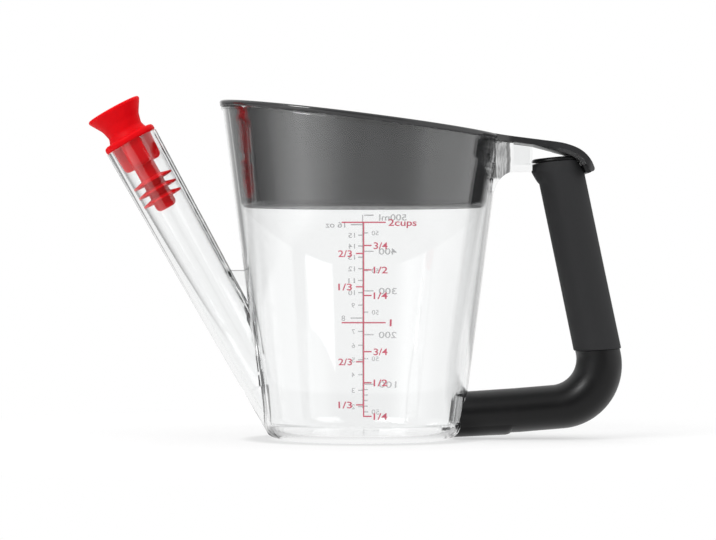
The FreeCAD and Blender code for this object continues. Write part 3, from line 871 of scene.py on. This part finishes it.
def armLine(plan, side):
    # height of the arm's edge at x: foot + rise * x, half the arm's thickness away when measured square to it
    slope = plan["armRise"]
    return lambda x: plan["armFoot"] + slope * x + side * plan["armHalf"] * sqrt(1 + slope ** 2)


def gripMiddle(plan, height):
    # x of the grip's middle: foot - back * height
    return plan["gripFoot"] - plan["gripBack"] * height


def gripLine(plan, side, half):
    # x of the grip's edge at a height: the middle, and the half away from it when measured square to it
    slope = plan["gripBack"]
    return lambda z: gripMiddle(plan, z) + side * half * sqrt(1 + slope ** 2)


def bend(plan, side, radius, counts):
    # one edge of the handle seen from the side: along the arm, round the elbow, up the neck to the parting line
    along = armLine(plan, side)
    up = gripLine(plan, -side, plan["neckHalf"])
    back = plan["gripBack"]
    cornerX = (up(0) - back * along(0)) / (1 + back * plan["armRise"])
    corner = np.array([cornerX, along(cornerX)])
    start = np.array([plan["armStart"], along(plan["armStart"])])
    endZ = plan["parting"] + plan["partingTilt"] * (up(plan["parting"]) - gripMiddle(plan, plan["parting"]))
    end = np.array([up(endZ), endZ])
    turn = roundedLine([start, (*corner, radius), end], counts[1])[1:-1]
    first = start + (turn[0] - start) * np.linspace(0, 1, counts[0], endpoint=False)[:, None]
    last = turn[-1] + (end - turn[-1]) * np.linspace(0, 1, counts[2] + 1)[1:, None]
    return np.concatenate([first, turn, last])


def sweptOval(inner, outer, depth, columns=72):
    # ovals between paired points of two edges: half the pair's distance one way, half the depth the other
    angles = np.linspace(0, 2 * pi, columns, endpoint=False)
    middle = (inner + outer) / 2
    half = (inner - outer) / 2
    flat = middle[:, None] + half[:, None] * np.cos(angles)[None, :, None]
    side = np.broadcast_to(np.sin(angles)[None] * depth / 2, flat.shape[:2])
    return np.stack([flat[..., 0], side, flat[..., 1]], axis=-1)


def trimToJug(rings, rows, gap):
    # slides the first ring along the arm until it lies on the jug's wall, the next ones share the move; at a point
    # y from the middle the wall's x is the root of its radius squared less y squared
    start = rings[0]
    wall = np.sqrt(np.clip(jugRadius(start[:, 2], gap) ** 2 - start[:, 1] ** 2, 0, None))
    share = np.linspace(1, 0, rows)[:, None]
    moved = rings.copy()
    moved[:rows, :, 0] += share * (wall - start[:, 0])
    return moved


def makeBar(plan, name, upper, lower, depth, rows):
    # ovals between two edges, from the jug's wall on, kept just above the ground
    rings = trimToJug(sweptOval(upper, lower, depth), rows, plan["wallGap"])
    rings[..., 2] = np.maximum(rings[..., 2], plan["ground"])
    return newObject(name, *wrappedGrid(rings))


def makeCore(plan):
    # arm with elbow and neck, the pad under the arm and the cap of the post, as one skin
    counts = (14, 28, 6)
    inner = bend(plan, 1, plan["innerRadius"], counts)
    outer = bend(plan, -1, plan["outerRadius"], counts)
    piece = makeBar(plan, "handle_core_black", inner, outer, plan["armDepth"], 8)
    pad = plan["pad"]
    reach = np.array(pad["reach"])
    sink = np.array(pad["sink"])
    low = armLine(plan, -1)(reach)
    lower = np.stack([reach, low - pad["drop"] + sink], axis=-1)
    upper = np.stack([reach, low + pad["thickness"] - sink], axis=-1)
    under = makeBar(plan, "pad", upper, lower, pad["depth"], 4)
    combine(piece, [under, makeCap(plan)], "UNION")
    smooth(piece)
    piece.data.materials.clear()
    piece.data.materials.append(mouldedMaterial("satinBlack", plan["coreLook"]))
    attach(piece, "jug")
    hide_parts("handle_core")


def crownRing(plan, size, columns=96):
    # the widened top seen from above, as x and y round an oval between the beak and the rear
    angles = np.linspace(0, 2 * pi, columns, endpoint=False)
    rear = gripMiddle(plan, plan["beakHigh"]) + plan["gripHalf"] * sqrt(1 + plan["gripBack"] ** 2)
    middle = (plan["beakFront"] + rear) / 2
    half = (rear - plan["beakFront"]) / 2
    return middle + half * size * np.cos(angles), plan["gripDepth"] / 2 * size * np.sin(angles)


def capPlane(plan, x):
    # height of the cap's top: a plane that rises with x through the grip's middle
    return plan["capTop"] + plan["capTilt"] * (x - gripMiddle(plan, plan["capTop"]))


def roofLine(plan):
    # the height, at each x, that stays a gap below the rib of the lid's tongue
    line = tongueUnderside(tongue, tongue["thickness"] + tongue["rib"] + plan["roofGap"])
    return lambda x: np.interp(x, line[:, 0], line[:, 1])


def makeCap(plan):
    # each ring lies its depth under the cap's plane, or just under the roof line where that is lower
    roof = roofLine(plan)
    rings = []
    for depth, size in plan["capRows"]:
        x, y = crownRing(plan, size)
        z = np.minimum(capPlane(plan, x) - depth, roof(x) - 0.02 * depth)
        rings.append(np.stack([x, y, z], axis=-1))
    return newObject("cap", *wrappedGrid(np.array(rings)))


def makeGrip(plan):
    # ovals from the parting line to the cap's seam: straight up the grip's slope, then flared towards the beak; their
    # tilt fades from the parting line's, and the last ones follow the cap's plane or the roof line
    roof = roofLine(plan)
    angles = np.linspace(0, 2 * pi, 96, endpoint=False)
    half = plan["gripHalf"] * sqrt(1 + plan["gripBack"] ** 2)
    low = plan["parting"] + plan["partingGap"]
    heights = np.concatenate([[low, low, low + 0.12, low + 0.4], np.linspace(low + 3, plan["beakLow"], 16),
                              np.linspace(plan["beakLow"], plan["beakHigh"], 7)[1:],
                              plan["beakHigh"] + np.array([0.5, 1.5, 2.4])])
    sizes = np.ones(len(heights))
    sizes[:4] = (0.9, 0.985, 0.996, 1.0)
    rings = []
    for height, size in zip(heights, sizes):
        rear = gripMiddle(plan, min(height, plan["beakHigh"])) + half
        front = gripMiddle(plan, min(height, plan["beakLow"])) - half
        flare = np.clip((height - plan["beakLow"]) / (plan["beakHigh"] - plan["beakLow"]), 0, 1)
        front += (plan["beakFront"] - front) * flare ** plan["flarePower"]
        middle = (front + rear) / 2
        x = middle + (rear - front) / 2 * size * np.cos(angles)
        y = plan["gripDepth"] / 2 * size * np.sin(angles)
        slope = plan["partingTilt"] * np.clip(1 - (height - low) / plan["partingFade"], 0, 1)
        z = height + slope * (x - middle)
        rings.append(np.stack([x, y, z], axis=-1))
    for depth, size in ((0.5, 1.0), (0.2, 0.995), (0.05, 0.975), (0.0, 0.93)):
        x, y = crownRing(plan, size)
        opening = plan["seam"] * np.clip((plan["beakFront"] + plan["seamLength"] - x) / plan["seamLength"], 0, 1)
        z = capPlane(plan, x) - plan["capThickness"] - plan["seamGap"] - opening - depth
        z = np.minimum(z, roof(x) - depth)
        rings.append(np.stack([x, y, z], axis=-1))
    piece = newObject("grip_rubber_black", *wrappedGrid(np.array(rings)))
    smooth(piece, 40)
    piece.data.materials.append(mouldedMaterial("rubberBlack", plan["gripLook"]))
    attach(piece, "jug")
    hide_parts("handle_grip")


makeCore(handle)
makeGrip(handle)
print("handle made")

# printed scales: the ticks are the frame's, the numbers are set beside them

fill = {"extra": 22.5, "cup": 236.6, "ounce": 29.57}
ink = {"lift": 0.012, "thickness": 0.1, "weight": 0.012, "capital": 0.729}


def fillHeight(volume):
    # height that a volume in ml reaches in the inner cone: a frustum holds pi / (3 * slope) times the difference of
    # the cubes of its two radii, and a millilitre has 1000 cubic millimetres
    slope = tan(jugShape["lean"])
    inner = jugShape["foot"] - jugShape["wall"] / cos(jugShape["lean"])
    floorRadius = inner + jugShape["floor"] * slope
    return ((floorRadius ** 3 + (volume - fill["extra"]) * 3000 * slope / pi) ** (1 / 3) - inner) / slope


def onCone(angle, radius, height, side):
    # places round the jug: the radius times the sine of the angle across, times its cosine outwards; side -1 is the
    # front and 1 the back, and the angle grows in reading direction
    return np.stack([-side * radius * np.sin(angle), side * radius * np.cos(angle), height], axis=-1)


def printedLine(name, low, high, across, width, side, material):
    # a thin bar up the jug: rings of four corners at each height, lying on the cone and just above it
    up = np.linspace(fillHeight(low), fillHeight(high), 40)
    corners = np.array([(-0.5, 0), (0.5, 0), (0.5, 1), (-0.5, 1)])
    angle = (across + corners[None, :, 0] * width) / jugRadius(up)[:, None]
    radius = np.stack([jugRadius(up, ink["lift"] + ink["thickness"] * level) for level in corners[:, 1]], axis=-1)
    height = np.broadcast_to(up[:, None], radius.shape)
    piece = newObject(name, *wrappedGrid(onCone(angle, radius, height, side)))
    piece.data.materials.append(material)
    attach(piece, "jug")


def lettering(name, labels, side, material):
    # labels are (text, volume, start, width, height); start is where the text begins, in reading direction. A flat
    # letter is stretched to its width and height, its width wound round the cone and its depth taken outwards
    points = []
    faces = []
    offset = 0
    for text, volume, start, width, height in labels:
        curve = bpy.data.curves.new("label", "FONT")
        curve.body = text
        curve.resolution_u = 6
        curve.offset = ink["weight"]
        curve.extrude = 0.5
        flat = bpy.data.objects.new("label", curve)
        bpy.context.scene.collection.objects.link(flat)
        graph = bpy.context.evaluated_depsgraph_get()
        mesh = bpy.data.meshes.new_from_object(flat.evaluated_get(graph))
        own = np.empty(len(mesh.vertices) * 3)
        mesh.vertices.foreach_get("co", own)
        own = own.reshape(-1, 3)
        low = own.min(axis=0)
        span = own.max(axis=0) - low
        across = start + (own[:, 0] - low[0]) / span[0] * width
        up = fillHeight(volume) + (own[:, 1] / ink["capital"] - 0.5) * height
        radius = jugRadius(up, ink["lift"] + ink["thickness"] * (own[:, 2] + 0.5))
        points.append(onCone(across / jugRadius(fillHeight(volume)), radius, up, side))
        faces += [[vertex + offset for vertex in polygon.vertices] for polygon in mesh.polygons]
        offset += len(own)
        bpy.data.objects.remove(flat)
    piece = newObject(name, np.concatenate(points), faces)
    piece.data.materials.append(material)
    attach(piece, "jug")


cup = fill["cup"]
frontLabels = [("2cups", 2 * cup, 9.3, 11.2, 2.6), ("1", cup, 9.9, 0.75, 2.7)]
frontLabels += [(text, cup * (whole + share), 3.75, 5.3, 2.6)
                for whole in (0, 1) for text, share in (("1/4", 0.25), ("1/2", 0.5), ("3/4", 0.75))]
frontLabels += [(text, cup * (whole + share), -9.6, 5.2, 2.6)
                for whole in (0, 1) for text, share in (("1/3", 1 / 3), ("2/3", 2 / 3))]

ounce = fill["ounce"]
rearLabels = [("500ml", 494, -18.2, 11.7, 2.6), ("50", 50, -6.5, 3.2, 2.0)]
rearLabels += [(str(volume), volume, -13.9, 7.6, 2.6) for volume in (100, 200, 300, 400)]
rearLabels += [("50", volume, -6.3, 2.9, 1.9) for volume in (150, 250, 350, 450)]
rearLabels += [("16 oz", 16 * ounce, 7.7, 8.4, 2.4), ("8", 8 * ounce, 7.7, 1.6, 2.3)]
rearLabels += [(str(count), count * ounce, 3.6, 1.4 if count < 10 else 2.8, 2.0)
               for count in (2, 3, 4, 5, 6, 7, 9, 10, 11, 12, 13, 14, 15)]

inkLook = {"color": (0.52, 0.11, 0.155), "rough": 0.5, "grain": 1200.0, "wear": 0.15, "bump": 0.05, "depth": 0.02,
           "shader": {"IOR": 1.45, "Specular IOR Level": 0.3}}
rearInkLook = dict(inkLook, color=(0.50, 0.50, 0.51), shader=dict(inkLook["shader"], Alpha=0.4))
redInk = mouldedMaterial("redInk", inkLook)
greyInk = mouldedMaterial("greyInk", rearInkLook)
dress("cup_scale", redInk)
dress("ounce_scale", greyInk)
dress("millilitre_scale", greyInk)
lettering("cup_numbers", frontLabels, -1, redInk)
lettering("metric_numbers", rearLabels, 1, greyInk)
printedLine("metric_line", 56, 500.8, 0.4, 0.45, 1, greyInk)
print("numbers printed")

bpy.context.scene.view_settings.view_transform = "Standard"
